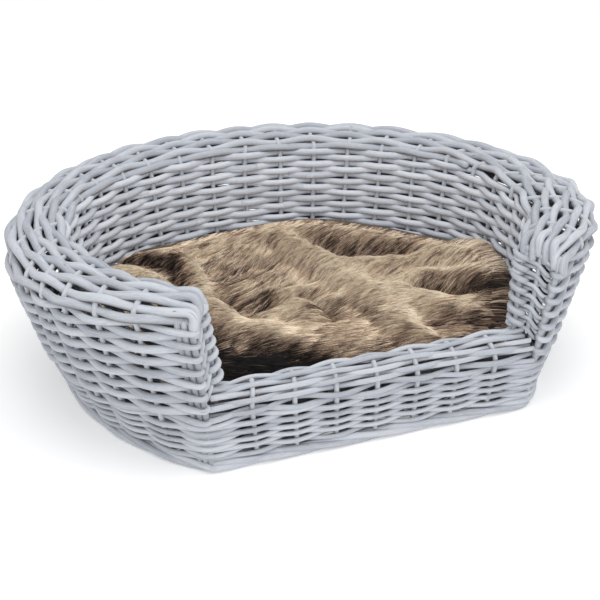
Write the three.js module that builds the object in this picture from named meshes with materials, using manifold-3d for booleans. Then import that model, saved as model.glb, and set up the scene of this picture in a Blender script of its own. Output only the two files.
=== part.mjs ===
// Wicker pet bed: a double-walled willow sofa basket with a loose fur cushion.
// Millimetres, +Z up, front towards -Y, origin on the floor at the middle of the footprint.
import * as THREE from 'three';
import { mergeVertices } from 'three/addons/utils/BufferGeometryUtils.js';
import Module from 'manifold-3d';

const wasm = await Module();
wasm.setup();

// ---- driving sizes ----
const GAP = 0.3;                 // air left between two pieces that touch
const SKIN = 12;                 // a woven wall: two layers of weavers round one layer of stakes
const STAKE_R = 2.6;             // willow stake
const CHANNEL_R = STAKE_R + 0.35;
const SIDE_STAKES = 26;          // stakes of the back and the two arms
const FRONT_STAKES = 7;
const BASE_RODS = 7;
const OUTER_POST_R = 7;
const INNER_POST_R = 6.5;
const FOOT_H = 9;                // foot border, the lowest ring
const BASE_Z = 2;                // underside of the woven base
const BASE_H = 10;
const SIDE_END = 0.986;          // where the side walls stop short of the corner posts

// Mid-surface outlines of the side wall, from the foot over the rim to the inside bottom.
// Each is an oval cut off at the front: half width a, widest at y = wide, back at y = back,
// front corners at (cornerX, cornerY), all at height z.
const FOOT = { a: 223.4, wide: -24.5, back: 193.5, cornerX: 153.4, cornerY: -204.6, z: FOOT_H + GAP };
const RIM_OUT = { a: 278.6, wide: -60.4, back: 218.2, cornerX: 173.5, cornerY: -217.5, z: 149 };
const RIM_IN = { a: 222.1, wide: -17.2, back: 163.4, cornerX: 155.7, cornerY: -182, z: 153.4 };
const INSIDE = { a: 205, wide: -19.5, back: 148.5, cornerX: 143, cornerY: -187.5, z: BASE_Z + BASE_H + GAP };
const RIM_TOP_Z = 164;
const RIM_TOP_AT = 0.42;         // the crest's place across the rim, from outside to inside
const OUTER_BELLY = 5;           // outward swell of the outer wall at half height

// Mid-line of the front wall in section, [y, z, half width], over the sill from outside to inside.
const FRONT_LINE = [
  [-204.6, FOOT_H + GAP, 144], [-207.3, 34, 147], [-209.3, 58, 150], [-204.5, 70, 147],
  [-195.5, 77, 137], [-188.5, 72, 136], [-186.5, 60, 134.5], [-187.5, INSIDE.z, 133],
];

// Corner posts, foot to rim, for the right side; the left side mirrors them.
const OUTER_POST = [[153.5, -204.7, FOOT.z + 1.2], [160, -209.3, 60], [173.2, -217.3, 147]];
const INNER_POST = [[143, -187.5, INSIDE.z + 0.8], [146, -192.5, 84], [155.5, -182.4, 150]];

const WILLOW = 0xbac2cc;
const group = new THREE.Group();

function addMesh(name, geometry, color = WILLOW, roughness = 0.7) {
  const material = new THREE.MeshStandardMaterial({ color, roughness, metalness: 0 });
  const mesh = new THREE.Mesh(geometry, material);
  mesh.name = name;
  group.add(mesh);
}

// ---- solids and cuts ----
function toSolid(geometry) {
  const bare = geometry.clone();
  bare.deleteAttribute('normal');
  bare.deleteAttribute('uv');
  const merged = mergeVertices(bare, 1e-4);
  return new wasm.Manifold(new wasm.Mesh({
    numProp: 3,
    vertProperties: new Float32Array(merged.attributes.position.array),
    triVerts: new Uint32Array(merged.index.array),
  }));
}

function toGeometry(solid) {
  const mesh = solid.getMesh();
  const geometry = new THREE.BufferGeometry();
  geometry.setAttribute('position', new THREE.BufferAttribute(new Float32Array(mesh.vertProperties), 3));
  geometry.setIndex(new THREE.BufferAttribute(new Uint32Array(mesh.triVerts), 1));
  return geometry;
}

function cut(geometry, cutters) {
  let solid = toSolid(geometry);
  for (const cutter of cutters) solid = solid.subtract(cutter);
  return toGeometry(solid);
}

// ---- surfaces ----
// A point on an oval outline at heading u: 0 is the middle of the back, -1 and 1 are the front
// corners. Equal u means an equal facing direction, so the same u lines up on every outline.
function outlinePoint(outline, u) {
  const { a, wide, back, cornerX, cornerY } = outline;
  const cornerSin = cornerX / a;
  const cornerCos = -Math.sqrt(1 - cornerSin * cornerSin);
  const frontDepth = (cornerY - wide) / cornerCos;
  const backDepth = back - wide;
  const lastHeading = Math.PI - Math.atan2(frontDepth * cornerSin, -a * cornerCos);
  const heading = Math.abs(u) * lastHeading;
  const depth = heading <= Math.PI / 2 ? backDepth : frontDepth;
  const angle = Math.atan2(a * Math.sin(heading), depth * Math.cos(heading));
  return [Math.sign(u) * a * Math.sin(angle), wide + depth * Math.cos(angle)];
}

function between(from, to, u, share, z) {
  const [x0, y0] = outlinePoint(from, u);
  const [x1, y1] = outlinePoint(to, u);
  return new THREE.Vector3(x0 + (x1 - x0) * share, y0 + (y1 - y0) * share, z);
}

// The side wall: v runs 0 to 1 up the outside, 1 to 3 over the rim and 3 to 4 down the inside.
function sideWall(u, v) {
  if (v <= 1) {
    const belly = OUTER_BELLY * Math.sin(Math.PI * v) / (RIM_OUT.a - FOOT.a);
    return between(FOOT, RIM_OUT, u, v + belly, FOOT.z + (RIM_OUT.z - FOOT.z) * v);
  }
  if (v <= 2) {
    const turn = (v - 1) * Math.PI / 2;
    const share = RIM_TOP_AT * (1 - Math.cos(turn));
    return between(RIM_OUT, RIM_IN, u, share, RIM_OUT.z + (RIM_TOP_Z - RIM_OUT.z) * Math.sin(turn));
  }
  if (v <= 3) {
    const turn = (v - 2) * Math.PI / 2;
    const share = RIM_TOP_AT + (1 - RIM_TOP_AT) * Math.sin(turn);
    return between(RIM_OUT, RIM_IN, u, share, RIM_IN.z + (RIM_TOP_Z - RIM_IN.z) * Math.cos(turn));
  }
  return between(RIM_IN, INSIDE, u, v - 3, RIM_IN.z + (INSIDE.z - RIM_IN.z) * (v - 3));
}

// The front wall: v counts the points of FRONT_LINE, u is -1 at the left end and 1 at the right.
function frontWall(u, v) {
  const last = FRONT_LINE.length - 1;
  const i = Math.max(0, Math.min(Math.floor(v), last - 1));
  const [y, z, half] = FRONT_LINE[i].map((value, k) => value + (FRONT_LINE[i + 1][k] - value) * (v - i));
  return new THREE.Vector3(u * half, y, z);
}

function alongPost(line, z) {
  const i = z < line[1][2] ? 0 : 1;
  const share = (z - line[i][2]) / (line[i + 1][2] - line[i][2]);
  return line[i].map((value, k) => value + (line[i + 1][k] - value) * share);
}

// The end panel of an arm, between its two corner posts: u runs 0 to 1 from the inner post to
// the outer one, v runs 0 to 1 from just over the sill to the crest of the rim.
function endPanel(side, u, v) {
  const bottom = 93 - 22 * u;
  const top = 152 - 4 * u + 11 * Math.sin(Math.PI * u);
  const z = bottom + (top - bottom) * v;
  const inner = alongPost(INNER_POST, z);
  const outer = alongPost(OUTER_POST, z);
  const span = Math.hypot(outer[0] - inner[0], outer[1] - inner[1]);
  const from = (INNER_POST_R + GAP) / span;
  const to = 1 - (OUTER_POST_R + GAP) / span;
  const share = from + (to - from) * u;
  const [x, y] = [0, 1].map((k) => inner[k] + (outer[k] - inner[k]) * share);
  return new THREE.Vector3(side * x, y, z);
}

// A closed sheet of one thickness on both sides of a surface, over a grid of us by vs.
// With levelEnds, its edges at the first and last v lie level.
function thickSheet(surface, us, vs, thickness, levelEnds = false) {
  const step = 1e-3;
  const positions = [];
  for (const side of [1, -1]) {
    for (const v of vs) {
      for (const u of us) {
        const along = surface(u + step, v).sub(surface(u - step, v));
        const up = surface(u, v + step).sub(surface(u, v - step));
        const normal = along.cross(up);
        if (levelEnds && (v === vs[0] || v === vs.at(-1))) normal.setZ(0);
        normal.normalize();
        positions.push(...surface(u, v).addScaledVector(normal, side * thickness / 2).toArray());
      }
    }
  }
  const [columns, rows] = [us.length, vs.length];
  const at = (layer, i, j) => layer * columns * rows + j * columns + i;
  const index = [];
  const quad = (a, b, c, d) => index.push(a, b, c, a, c, d);
  for (let i = 0; i < columns - 1; i += 1) {
    for (let j = 0; j < rows - 1; j += 1) {
      quad(at(0, i, j), at(0, i + 1, j), at(0, i + 1, j + 1), at(0, i, j + 1));
      quad(at(1, i, j), at(1, i, j + 1), at(1, i + 1, j + 1), at(1, i + 1, j));
    }
    quad(at(0, i, 0), at(1, i, 0), at(1, i + 1, 0), at(0, i + 1, 0));
    quad(at(0, i + 1, rows - 1), at(1, i + 1, rows - 1), at(1, i, rows - 1), at(0, i, rows - 1));
  }
  for (let j = 0; j < rows - 1; j += 1) {
    quad(at(0, 0, j), at(0, 0, j + 1), at(1, 0, j + 1), at(1, 0, j));
    quad(at(1, columns - 1, j), at(1, columns - 1, j + 1), at(0, columns - 1, j + 1), at(0, columns - 1, j));
  }
  const geometry = new THREE.BufferGeometry();
  geometry.setAttribute('position', new THREE.Float32BufferAttribute(positions, 3));
  geometry.setIndex(index);
  return geometry;
}

// Values from first to last in equal steps, both ends included.
function spread(first, last, steps) {
  return Array.from({ length: steps + 1 }, (_, i) => first + (last - first) * i / steps);
}

// ---- rods ----
// A polyline whose corners are also the extrusion's steps.
class RodPath extends THREE.Curve {
  constructor(points) {
    super();
    this.points = points;
  }

  getPoint(t, target = new THREE.Vector3()) {
    const last = this.points.length - 1;
    const i = Math.min(Math.floor(t * last), last - 1);
    return target.lerpVectors(this.points[i], this.points[i + 1], t * last - i);
  }

  getUtoTmapping(u) {
    return u;
  }
}

function rod(points, radius, sides = 6) {
  const corners = spread(0, 2 * Math.PI, sides).slice(1)
    .map((angle) => new THREE.Vector2(radius * Math.cos(angle), radius * Math.sin(angle)));
  return new THREE.ExtrudeGeometry(new THREE.Shape(corners), {
    steps: points.length - 1,
    extrudePath: new RodPath(points),
  });
}

// The same line run on straight past both ends, for a channel that is open at both ends.
function runOn(points, length) {
  const beyond = (end, next) => end.clone().sub(next).setLength(length).add(end);
  const ends = [beyond(points[0], points[1]), beyond(points.at(-1), points.at(-2))];
  return [ends[0], ...points.slice(1, -1), ends[1]];
}

const channelRunOn = 4;
const channel = (points) => toSolid(rod(runOn(points, channelRunOn), CHANNEL_R));
const number = (i) => String(i + 1).padStart(2, '0');

// ---- outlines in plan ----
// The closed outline of an oval, front corners included, moved outwards by grow.
function closedOutline(outline, grow, steps = 30) {
  const points = spread(1, -1, steps).map((u) => new THREE.Vector2(...outlinePoint(outline, u)));
  return points.map((point, i) => {
    const before = points.at(i - 1);
    const after = points[(i + 1) % points.length];
    const one = point.clone().sub(before).normalize();
    const two = after.clone().sub(point).normalize();
    const normal = new THREE.Vector2(one.y + two.y, -one.x - two.x).normalize();
    const stretch = normal.x * one.y - normal.y * one.x;
    return point.clone().addScaledVector(normal, grow / stretch);
  });
}

function plate(outer, z, height, hole) {
  const shape = new THREE.Shape(outer);
  if (hole) shape.holes.push(new THREE.Path(hole));
  const geometry = new THREE.ExtrudeGeometry(shape, { depth: height, bevelEnabled: false });
  return geometry.translate(0, 0, z);
}

// ---- foot border and woven base ----
const footHalf = SKIN / 2 + 0.5;
const footInside = closedOutline(FOOT, -footHalf);
addMesh('foot_border', plate(closedOutline(FOOT, footHalf), 0, FOOT_H, footInside));

const baseOutline = closedOutline(FOOT, -footHalf - GAP);
const baseMid = BASE_Z + BASE_H / 2;
const baseInset = 12;            // from the foot border's middle to the ends of the base rods
const baseRodLines = Array.from({ length: BASE_RODS }, (_, i) => {
  const across = (i - (BASE_RODS - 1) / 2) / ((BASE_RODS + 1) / 2);
  const x = across * (FOOT.a - baseInset);
  const frontAt = FOOT.cornerY + baseInset + (Math.abs(across) > 0.7 ? 40 : 0);
  const backAt = FOOT.wide + (FOOT.back - baseInset - FOOT.wide) * Math.sqrt(1 - across ** 2);
  return [new THREE.Vector3(x, frontAt, baseMid), new THREE.Vector3(x, backAt, baseMid)];
});
const baseReach = 40;
const baseChannels = baseRodLines.map((line) => toSolid(rod(runOn(line, baseReach), CHANNEL_R)));
addMesh('base_weave', cut(plate(baseOutline, BASE_Z, BASE_H), baseChannels));
baseRodLines.forEach((line, i) => addMesh(`base_rod_${number(i)}`, rod(line, STAKE_R)));

// ---- side wall: outer siding, rim and inner siding over the side stakes ----
// Stakes stand at equal distances along the inner edge of the rim.
function equalHeadings(count) {
  const fine = spread(-1, 1, 2000);
  const edge = fine.map((u) => new THREE.Vector2(...outlinePoint(RIM_IN, u)));
  const travelled = [0];
  for (let i = 1; i < edge.length; i += 1) travelled.push(travelled[i - 1] + edge[i].distanceTo(edge[i - 1]));
  const total = travelled.at(-1);
  return Array.from({ length: count }, (_, k) => {
    const wanted = total * (k + 1) / (count + 1);
    return fine[travelled.findIndex((length) => length >= wanted)];
  });
}

const outerSteps = 2;
const rimSteps = 6;
const innerSteps = 2;
const seam = 0.002;              // the gap between two bands, as a share of the wall's height
const outerRows = spread(0, 1 - seam, outerSteps);
const rimRows = spread(1, 3, rimSteps);
const innerRows = spread(3 + seam, 4, innerSteps);
const stakeRows = [
  ...spread(0, 1, outerSteps),
  ...spread(1, 3, rimSteps).slice(1),
  ...spread(3, 4, innerSteps).slice(1),
];
stakeRows[0] += 0.02;
stakeRows[stakeRows.length - 1] -= 0.02;
const sideStakeLines = equalHeadings(SIDE_STAKES).map((u) => stakeRows.map((v) => sideWall(u, v)));
const sideChannels = sideStakeLines.map(channel);
const sideColumns = spread(-SIDE_END, SIDE_END, 32);
addMesh('outer_siding', cut(thickSheet(sideWall, sideColumns, outerRows, SKIN, true), sideChannels));
addMesh('rim_roll', cut(thickSheet(sideWall, sideColumns, rimRows, SKIN, true), sideChannels));
addMesh('inner_siding', cut(thickSheet(sideWall, sideColumns, innerRows, SKIN, true), sideChannels));
sideStakeLines.forEach((line, i) => addMesh(`side_stake_${number(i)}`, rod(line, STAKE_R)));

// ---- front wall with its sill ----
const frontRows = FRONT_LINE.map((_, i) => i);
const frontStakeLines = Array.from({ length: FRONT_STAKES }, (_, i) => {
  const u = (i + 1) / (FRONT_STAKES + 1) * 2 - 1;
  const line = frontRows.map((v) => frontWall(u, v));
  line[0] = frontWall(u, 0.1);
  line[line.length - 1] = frontWall(u, frontRows.at(-1) - 0.06);
  return line;
});
const frontSheet = thickSheet(frontWall, [-1, 0, 1], frontRows, SKIN, true);
addMesh('front_wall', cut(frontSheet, frontStakeLines.map(channel)));
frontStakeLines.forEach((line, i) => addMesh(`front_stake_${number(i)}`, rod(line, STAKE_R)));

// ---- arm ends ----
const PANEL_T = 9;
for (const [side, name] of [[-1, 'left'], [1, 'right']]) {
  const post = (line, radius) => (
    rod(line.map(([x, y, z]) => new THREE.Vector3(side * x, y, z)), radius, 8));
  addMesh(`outer_post_${name}`, post(OUTER_POST, OUTER_POST_R));
  addMesh(`inner_post_${name}`, post(INNER_POST, INNER_POST_R));

  const panel = (u, v) => endPanel(side, side > 0 ? u : 1 - u, v);
  const sheet = thickSheet(panel, spread(0, 1, 4), spread(0, 1, 3), PANEL_T);
  const stakeLine = spread(0, 1, 3).map((v) => panel(0.5, v));
  addMesh(`end_panel_${name}`, cut(sheet, [channel(stakeLine)]));
  addMesh(`end_stake_${name}`, rod(stakeLine, STAKE_R));
}

// ---- cushion: a fur cover above the edge seam, a lining below it and the filling inside ----
const CUSHION_CLEAR = 9.5;       // from the inside wall's middle to the cushion's edge
const CUSHION_Z = INSIDE.z;
const CUSHION_H = 62;
const SEAM_UP = 16;              // the edge seam's height over the cushion's underside
const COVER_T = 3;
const ROUND_H = 24;              // the edge's rounding, up and sideways
const ROUND_W = 20;
const ROUND_STEPS = 3;

function pillow(inset) {
  const shape = new THREE.Shape(closedOutline(INSIDE, -CUSHION_CLEAR - inset - ROUND_W, 22));
  const geometry = new THREE.ExtrudeGeometry(shape, {
    depth: CUSHION_H - 2 * ROUND_H,
    bevelThickness: ROUND_H - inset,
    bevelSize: ROUND_W,
    bevelSegments: ROUND_STEPS,
  });
  return geometry.translate(0, 0, CUSHION_Z + ROUND_H);
}

// Everything above (up = 1) or below (up = -1) the edge seam.
function seamBlock(up) {
  const size = 500;
  const middle = CUSHION_Z + SEAM_UP + up * (size - GAP) / 2;
  return toSolid(new THREE.BoxGeometry(size, size, size).translate(0, 0, middle));
}

const hollow = toSolid(pillow(COVER_T));
addMesh('cushion_lining', cut(pillow(0), [hollow, seamBlock(1)]), 0x9a8a76, 0.95);
addMesh('cushion_fur_cover', cut(pillow(0), [hollow, seamBlock(-1)]), 0xa08e78, 1);
addMesh('cushion_filling', pillow(COVER_T + GAP), 0xeeeeea, 0.95);

export default group;
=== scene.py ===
"""Wicker pet bed: woven willow and a fur cushion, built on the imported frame."""
import math

import bpy
import numpy as np
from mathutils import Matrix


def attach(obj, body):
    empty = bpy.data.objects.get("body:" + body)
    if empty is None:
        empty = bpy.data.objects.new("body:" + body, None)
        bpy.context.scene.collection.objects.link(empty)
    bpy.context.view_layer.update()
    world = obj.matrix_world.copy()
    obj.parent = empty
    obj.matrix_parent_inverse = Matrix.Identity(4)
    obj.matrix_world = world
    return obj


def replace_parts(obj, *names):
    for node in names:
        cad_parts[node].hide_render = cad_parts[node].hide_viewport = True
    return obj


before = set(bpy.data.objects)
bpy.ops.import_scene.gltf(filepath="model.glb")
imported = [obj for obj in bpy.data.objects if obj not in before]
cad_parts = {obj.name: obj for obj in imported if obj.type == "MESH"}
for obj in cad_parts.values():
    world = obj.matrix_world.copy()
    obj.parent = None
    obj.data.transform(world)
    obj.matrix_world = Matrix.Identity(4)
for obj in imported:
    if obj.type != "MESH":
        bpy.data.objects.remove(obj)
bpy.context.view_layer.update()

MM = 0.001
SEED = 11

# ---- the basket's driving sizes in millimetres ----
# The outlines are the CAD's. The front line holds y, z and half width. Its half widths are larger
# than the CAD's, so that the rods run into the corner posts, and the outer posts start lower.
FOOT = dict(a=223.4, wide=-24.5, back=193.5, corner=(153.4, -204.6), z=9.3)
RIM_OUT = dict(a=278.6, wide=-60.4, back=218.2, corner=(173.5, -217.5), z=149.0)
RIM_IN = dict(a=222.1, wide=-17.2, back=163.4, corner=(155.7, -182.0), z=153.4)
INSIDE = dict(a=205.0, wide=-19.5, back=148.5, corner=(143.0, -187.5), z=12.3)
RIM_TOP_Z = 164.0
RIM_TOP_AT = 0.42
OUTER_BELLY = 5.0
FRONT_LINE = np.array([
    [-204.6, 9.3, 150], [-207.3, 34, 154], [-209.3, 58, 158], [-204.5, 70, 154],
    [-195.5, 77, 151], [-188.5, 72, 148], [-186.5, 60, 143], [-187.5, 12.3, 140],
])
OUTER_POST = np.array([[153.5, -204.7, 5.0], [160, -209.3, 60], [173.2, -217.3, 147]])
INNER_POST = np.array([[143, -187.5, 13.0], [146, -192.5, 84], [155.5, -182.4, 150]])

SIDE_STAKES = 26
FRONT_STAKES = 7
BASE_RODS = 7
BASE_ROD_R = 2.6
BASE_MIDDLE = 7.0            # height of the base rods' middle lines
BASE_INSET = 12.0            # from the foot's outline to the ends of the base rods
STAKE_R = 2.45
WEAVER_R = 3.45
WEAVE_AMPLITUDE = 4.3        # a weaver's middle stands this far off the stakes' middle
ROW_PITCH = 6.3


# ---- noise and interpolation ----
def wave(x, seed):
    """Smooth noise from -1 to 1 along x, with one random value per unit."""
    table = np.random.default_rng(seed).uniform(-1, 1, 512)
    x = np.asarray(x, float)
    whole = np.floor(x).astype(int)
    part = x - whole
    part = part * part * (3 - 2 * part)
    return table[whole % 512] * (1 - part) + table[(whole + 1) % 512] * part


def wave2(x, y, seed):
    """Smooth noise from -1 to 1 over a plane, with one random value per unit square."""
    table = np.random.default_rng(seed).uniform(-1, 1, (64, 64))
    xi, yi = np.floor(x).astype(int), np.floor(y).astype(int)
    fx, fy = x - xi, y - yi
    fx, fy = fx * fx * (3 - 2 * fx), fy * fy * (3 - 2 * fy)
    low = table[xi % 64, yi % 64] * (1 - fx) + table[(xi + 1) % 64, yi % 64] * fx
    high = table[xi % 64, (yi + 1) % 64] * (1 - fx) + table[(xi + 1) % 64, (yi + 1) % 64] * fx
    return low * (1 - fy) + high * fy


def unit(v):
    return v / np.linalg.norm(v, axis=-1, keepdims=True)


def along_line(line, z):
    """Points of a post's middle line at the heights z."""
    z = np.asarray(z, float)
    x = np.interp(z, line[:, 2], line[:, 0])
    y = np.interp(z, line[:, 2], line[:, 1])
    return np.stack([x, y, z], axis=-1)


# ---- surfaces ----
def outline(o, u):
    """Plan point of an oval cut off at the front, at heading share u from -1 to 1."""
    a, wide, back = o["a"], o["wide"], o["back"]
    corner_sin = o["corner"][0] / a
    corner_cos = -math.sqrt(1 - corner_sin ** 2)
    front_depth = (o["corner"][1] - wide) / corner_cos
    last = math.pi - math.atan2(front_depth * corner_sin, -a * corner_cos)
    heading = np.abs(u) * last
    depth = np.where(heading <= math.pi / 2, back - wide, front_depth)
    angle = np.arctan2(a * np.sin(heading), depth * np.cos(heading))
    return np.stack([np.sign(u) * a * np.sin(angle), wide + depth * np.cos(angle)], axis=-1)


def side_wall(u, v):
    """The wall's middle surface: v is 0-1 up the outside, 1-3 over the rim, 3-4 down inside."""
    u, v = np.broadcast_arrays(np.asarray(u, float), np.asarray(v, float))
    foot, out, inn, inside = (outline(o, u) for o in (FOOT, RIM_OUT, RIM_IN, INSIDE))
    belly = OUTER_BELLY * np.sin(np.pi * np.clip(v, 0, 1)) / (RIM_OUT["a"] - FOOT["a"])
    turn_out = (v - 1) * np.pi / 2
    turn_in = (v - 2) * np.pi / 2
    share_out = RIM_TOP_AT * (1 - np.cos(turn_out))
    share_in = RIM_TOP_AT + (1 - RIM_TOP_AT) * np.sin(turn_in)

    def mix(one, two, share):
        return one + (two - one) * share[..., None]

    which = [v <= 1, v <= 2, v <= 3]
    xy = np.where(which[0][..., None], mix(foot, out, v + belly),
                  np.where(which[1][..., None], mix(out, inn, share_out),
                           np.where(which[2][..., None], mix(out, inn, share_in),
                                    mix(inn, inside, v - 3))))
    z = np.select(which, [
        FOOT["z"] + (RIM_OUT["z"] - FOOT["z"]) * v,
        RIM_OUT["z"] + (RIM_TOP_Z - RIM_OUT["z"]) * np.sin(turn_out),
        RIM_IN["z"] + (RIM_TOP_Z - RIM_IN["z"]) * np.cos(turn_in),
    ], RIM_IN["z"] + (INSIDE["z"] - RIM_IN["z"]) * (v - 3))
    return np.concatenate([xy, z[..., None]], axis=-1)


def front_wall(share, v):
    """The front's middle surface: share is -1 at the left to 1 at the right, v counts its line."""
    share, v = np.broadcast_arrays(np.asarray(share, float), np.asarray(v, float))
    knots = np.arange(len(FRONT_LINE))
    y, z, half = (np.interp(v, knots, FRONT_LINE[:, i]) for i in range(3))
    return np.stack([share * half, y, z], axis=-1)


def side_normal(u, v):
    step = 1e-3
    along = side_wall(u + step, v) - side_wall(u - step, v)
    up = side_wall(u, v + step) - side_wall(u, v - step)
    return unit(np.cross(up, along))


def front_normal(share, v):
    step = 0.02
    v = np.clip(v, step, len(FRONT_LINE) - 1 - step)
    along = front_wall(share + step, v) - front_wall(share - step, v)
    up = front_wall(share, v + step) - front_wall(share, v - step)
    return unit(np.cross(along, up))


def stake_headings():
    """Headings of the side stakes, evenly spaced along the rim's inner edge, ends included."""
    fine = np.linspace(-1, 1, 2001)
    edge = outline(RIM_IN, fine)
    travelled = np.concatenate([[0], np.cumsum(np.linalg.norm(np.diff(edge, axis=0), axis=1))])
    return np.interp(np.linspace(0, travelled[-1], SIDE_STAKES + 2), travelled, fine)


HEADINGS = stake_headings()
LAST = SIDE_STAKES + 1


def heading_at(k):
    """Heading at a place counted in stakes, 0 and LAST being the corner posts."""
    return np.interp(k, np.arange(LAST + 1), HEADINGS)


# ---- rods ----
def sweep(points, radii, sides=8):
    """A closed tube along points. Returns vertices, faces, distance along and angle round."""
    points = np.asarray(points, float)
    count = len(points)
    radii = np.broadcast_to(radii, count)
    tangent = np.gradient(points, axis=0)
    tangent = unit(tangent)
    normal = np.zeros_like(points)
    start = np.cross(tangent[0], [0, 0, 1.0])
    if np.linalg.norm(start) < 0.2:
        start = np.cross(tangent[0], [1.0, 0, 0])
    normal[0] = unit(start)
    for i in range(1, count):
        n = normal[i - 1] - tangent[i] * (normal[i - 1] @ tangent[i])
        normal[i] = n / np.linalg.norm(n)
    side = np.cross(tangent, normal)
    angle = np.arange(sides) * 2 * np.pi / sides
    ring = (np.cos(angle)[None, :, None] * normal[:, None] + np.sin(angle)[None, :, None] * side[:, None])
    verts = (points[:, None] + ring * radii[:, None, None]).reshape(-1, 3)
    i = np.arange(count - 1)[:, None] * sides
    j = np.arange(sides)[None, :]
    k = (j + 1) % sides
    quads = np.stack([i + j, i + k, i + sides + k, i + sides + j], axis=-1).reshape(-1, 4)
    tips = np.stack([points[0] - tangent[0] * radii[0] * 0.5, points[-1] + tangent[-1] * radii[-1] * 0.5])
    verts = np.concatenate([verts, tips])
    first, last = count * sides, count * sides + 1
    end = (count - 1) * sides
    caps = [(first, (n + 1) % sides, n) for n in range(sides)]
    caps += [(last, end + n, end + (n + 1) % sides) for n in range(sides)]
    travelled = np.concatenate([[0], np.cumsum(np.linalg.norm(np.diff(points, axis=0), axis=1))])
    along = np.concatenate([np.repeat(travelled, sides), [0, travelled[-1]]])
    around = np.concatenate([np.tile(angle, count), [0, 0]])
    return verts, quads, np.array(caps), along, around


def add_mesh(name, verts, polygons, attributes, material, body="basket", slot="painted_willow_weavers"):
    """A mesh object from points in millimetres, riding on a body. polygons lists index arrays."""
    mesh = bpy.data.meshes.new(name)
    loops = np.concatenate([p.ravel() for p in polygons]).astype(np.int32)
    sizes = np.concatenate([np.full(len(p), p.shape[1]) for p in polygons]).astype(np.int32)
    starts = np.concatenate([[0], np.cumsum(sizes)[:-1]]).astype(np.int32)
    mesh.vertices.add(len(verts))
    mesh.vertices.foreach_set("co", (verts * MM).astype(np.float32).ravel())
    mesh.loops.add(len(loops))
    mesh.loops.foreach_set("vertex_index", loops)
    mesh.polygons.add(len(sizes))
    mesh.polygons.foreach_set("loop_start", starts)
    mesh.polygons.foreach_set("use_smooth", np.ones(len(sizes), bool))
    mesh.update(calc_edges=True)
    mesh.validate()
    for key, values in attributes.items():
        layer = mesh.attributes.new(key, "FLOAT", "POINT")
        layer.data.foreach_set("value", np.asarray(values, np.float32))
    mesh.materials.append(material)
    obj = bpy.data.objects.new(name, mesh)
    bpy.context.collection.objects.link(obj)
    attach(obj, body)
    return obj


def outwards(points):
    """Level directions away from the basket's middle."""
    return unit((points - [0, -20, 0]) * [1, 1, 0])


def upwards(points):
    return np.broadcast_to([0.0, 0.0, 1.0], points.shape)


def forwards(points):
    return np.broadcast_to([0.0, -1.0, 0.0], points.shape)


def out_of_sill(points):
    """Directions out of the front wall, turning upwards over its sill."""
    rise = np.maximum(points[:, 2] - 62, 0.1)
    return unit(np.stack([0 * points[:, 0], points[:, 1] + 197, rise], axis=-1))


def add_rods(name, rods, material, sides=8, away=None, **options):
    """One object of many rods, each (points, radii). away gives the direction out of a double wall, and the
    rod sides that face the other way get painted shade.
    """
    parts, quads, caps, along, around, ids, painted_shade_side = [], [], [], [], [], [], []
    offset = 0
    for number, (points, radii) in enumerate(rods):
        v, q, c, a, r = sweep(points, radii, sides)
        parts.append(v)
        quads.append(q + offset)
        caps.append(c + offset)
        along.append(a)
        around.append(r)
        ids.append(np.full(len(v), (number * 0.618 + len(name) * 0.37) % 1.0))
        inner_side = np.zeros(len(v))
        if away is not None:
            middle = np.repeat(points, sides, axis=0)
            out = np.repeat(away(points), sides, axis=0)
            # how far each vertex faces away from the wall's outside: this share of the rod gets painted
            # shade
            inner_side[:-2] = -np.sum(unit(v[:-2] - middle) * out, axis=1)
        painted_shade_side.append(np.clip(inner_side, 0, 1))
        offset += len(v)
    attributes = dict(
        along=np.concatenate(along), around=np.concatenate(around), rod_id=np.concatenate(ids),
        painted_shade_side=np.concatenate(painted_shade_side))
    polygons = [np.concatenate(quads), np.concatenate(caps)]
    return add_mesh(name, np.concatenate(parts), polygons, attributes, material, **options)


# ---- weaving ----
STEPS = 7                    # path points between two stakes


def weave_offset(k, signs):
    """The weaver's side of the wall at places k, from its sign at each whole stake."""
    whole = np.floor(k).astype(int)
    part = k - whole
    part = part * part * (3 - 2 * part)
    return signs(whole) * (1 - part) + signs(whole + 1) * part


def rod_radius(count, radius, seed, taper=0.22, flip=False):
    """A willow rod's radius along its length: thicker at the butt, thinner at the tip."""
    t = np.linspace(0, 1, count)
    t = 1 - t if flip else t
    return radius * (1 + taper * (0.5 - t)) * (1 + 0.035 * wave(np.arange(count) / 5.0, seed))


def smooth(points, rounds=1):
    points = points.copy()
    for _ in range(rounds):
        points[1:-1] = 0.25 * points[:-2] + 0.5 * points[1:-1] + 0.25 * points[2:]
    return points


def pieces_of_row(first, last, seed, mean=13.0):
    """Cuts a row into rods that overlap by about one stake."""
    rng = np.random.default_rng(seed)
    cuts = [first]
    while last - cuts[-1] > mean * 1.5:
        cuts.append(cuts[-1] + mean * rng.uniform(0.75, 1.25))
    cuts.append(last)
    return [(max(first, a - 0.45), min(last, b + 0.45)) for a, b in zip(cuts[:-1], cuts[1:])]


def side_row(k, v, signs, seed, amplitude=WEAVE_AMPLITUDE, wander=0.8):
    """A weaver's middle line along the side wall."""
    u = heading_at(k)
    scale = np.linalg.norm(side_wall(u, v + 0.01) - side_wall(u, v - 0.01), axis=-1) / 0.02
    v = v + wander * wave(k * 0.8 + seed * 3.1, seed) / scale
    points = side_wall(u, v)
    return points + side_normal(u, v) * (amplitude * weave_offset(k, signs))[:, None]


# ---- materials ----
def new_material(name):
    material = bpy.data.materials.new(name)
    material.use_nodes = True
    nodes, links = material.node_tree.nodes, material.node_tree.links
    shader = nodes["Principled BSDF"]
    return material, nodes, links, shader


def attribute(nodes, name):
    node = nodes.new("ShaderNodeAttribute")
    node.attribute_name = name
    return node.outputs["Fac"]


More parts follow.
